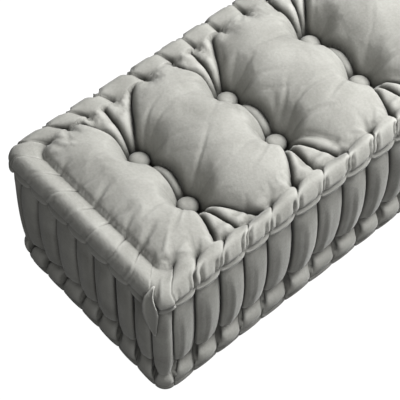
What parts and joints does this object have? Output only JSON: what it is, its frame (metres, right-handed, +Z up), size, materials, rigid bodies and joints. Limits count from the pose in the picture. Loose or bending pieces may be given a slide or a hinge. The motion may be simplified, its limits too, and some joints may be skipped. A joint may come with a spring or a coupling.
{
  "type": "tufted bench cushion",
  "caption": "Long padded bench cushion with a button-tufted crown, a hand-rolled top edge, vertically ribbed sides and a plump lower roll, covered in grey velvet.",
  "frame": {"origin": "centre of the flat base, on the surface it rests on", "axes": "+X along the cushion's length, +Y across its width from front to back, +Z up through the tufted top"},
  "size_m": [1.16, 0.35, 0.284],
  "materials": {
    "velvet": "short-pile velvet",
    "button_velvet": "short-pile velvet drawn over a dome"
  },
  "bodies": {
    "root": {"cushion": "velvet", "button_front_1": "button_velvet", "button_front_2": "button_velvet", "button_front_3": "button_velvet", "button_front_4": "button_velvet", "button_front_5": "button_velvet", "button_front_6": "button_velvet", "button_back_1": "button_velvet", "button_back_2": "button_velvet", "button_back_3": "button_velvet", "button_back_4": "button_velvet", "button_back_5": "button_velvet", "button_back_6": "button_velvet"}
  },
  "joints": []
}
